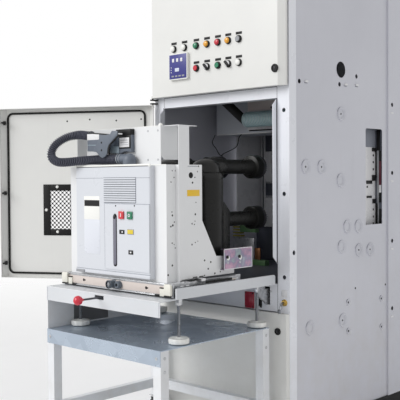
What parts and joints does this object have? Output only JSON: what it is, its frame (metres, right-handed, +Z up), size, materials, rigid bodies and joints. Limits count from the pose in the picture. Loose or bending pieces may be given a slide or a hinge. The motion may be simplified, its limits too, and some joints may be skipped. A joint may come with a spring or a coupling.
{
  "type": "medium-voltage switchgear cabinet with withdrawable circuit breaker on a service truck",
  "caption": "Free-standing switchgear cabinet with hinged front doors and a vacuum circuit breaker drawn out of it onto a docked service truck.",
  "frame": {"origin": "floor level under the middle of the front posts' front faces, on the base frame's underside", "axes": "+X across the front to the right, +Y from the front to the back of the cabinet, +Z up"},
  "size_m": [1.4578, 2.1945, 2.203],
  "materials": {
    "frame_dark": "satin dark grey",
    "zinc_sheet": "zinc plated sheet",
    "post_paint": "satin light grey",
    "wall_paint": "satin light grey",
    "door_paint": "satin light grey",
    "red_plastic": "glossy red",
    "brass": "polished",
    "black_plastic": "matt black",
    "interior_paint": "dark blue grey sheet",
    "duct_plastic": "ribbed",
    "truck_paint": "satin light grey",
    "shelf_sheet": "blue grey sheet",
    "screw_steel": "turned steel",
    "white_plastic": "moulded",
    "castor_rubber": "black tread",
    "gasket_rubber": "foamed",
    "black_paint": "matt black",
    "relay_plastic": "dark blue front",
    "housing_paint": "satin light grey",
    "cover_plastic": "moulded pale grey",
    "pole_resin": "cast resin",
    "iridescent_zinc": "passivated zinc",
    "plug_plastic": "moulded blue grey",
    "hose_plastic": "corrugated"
  },
  "bodies": {
    "cabinet": {"base_frame": "frame_dark", "gland_plate": "zinc_sheet", "front_posts": "post_paint", "side_walls": "wall_paint", "rear_sides": "wall_paint", "rear_wall": "wall_paint", "roof_plate": "wall_paint", "header_bar": "post_paint", "opening_collar": "post_paint", "lower_band": "post_paint", "interlock_plate": "red_plastic", "key_lock": "brass", "cable_door": "door_paint", "cable_door_lock": "black_plastic", "compartment_floor": "interior_paint", "compartment_ceiling": "interior_paint", "shutter_wall": "interior_paint", "shutters": "interior_paint", "shutter_guides": "zinc_sheet", "socket_box": "interior_paint", "wiring_duct": "duct_plastic", "instrument_back_wall": "wall_paint", "door_hinges": "frame_dark", "truck_table": "truck_paint", "table_rails": "truck_paint", "truck_side_panel": "truck_paint", "truck_shelf": "shelf_sheet", "jack_screws": "screw_steel", "panel_cover": "black_plastic", "handwheels": "white_plastic", "truck_legs": "truck_paint", "castors": "castor_rubber", "docking_hooks": "zinc_sheet"},
    "lever": {"release_lever": "red_plastic"},
    "breaker_door": {"breaker_door_panel": "door_paint", "door_gasket": "gasket_rubber", "vent_grille": "black_paint", "latch_pins": "black_plastic"},
    "instrument_door": {"instrument_door_panel": "door_paint", "protection_relay": "relay_plastic", "control_buttons": "black_plastic", "instrument_door_lock": "black_plastic"},
    "breaker": {"drive_housing": "housing_paint", "front_cover": "cover_plastic", "operating_panel": "cover_plastic", "charging_lever": "black_plastic", "shield_box": "housing_paint", "side_plates": "housing_paint", "poles": "pole_resin", "contact_arms": "pole_resin", "finger_contacts": "pole_resin", "carriage": "zinc_sheet", "crank_socket": "screw_steel", "carriage_wheels": "screw_steel", "terminal_plates": "iridescent_zinc", "control_plug": "plug_plastic", "control_hose": "hose_plastic", "hose_gland": "plug_plastic"}
  },
  "joints": [
    {"name": "breaker_door_hinge", "type": "hinge", "parent": "cabinet", "child": "breaker_door", "pos_m": [-0.39, -0.0245, 0.633], "axis": [0, 0, -1], "range_deg": [-59, 11]},
    {"name": "instrument_door_hinge", "type": "hinge", "parent": "cabinet", "child": "instrument_door", "pos_m": [-0.39, -0.0245, 1.499], "axis": [0, 0, -1], "range_deg": [0, 120]},
    {"name": "breaker_slide", "type": "slide", "parent": "cabinet", "child": "breaker", "axis": [0, 1, 0], "range_m": [0, 0.634]},
    {"name": "release_lever_pivot", "type": "hinge", "parent": "cabinet", "child": "lever", "pos_m": [0, -0.56, 0.661], "axis": [0, 0, 1], "range_deg": [-8, 8]}
  ]
}
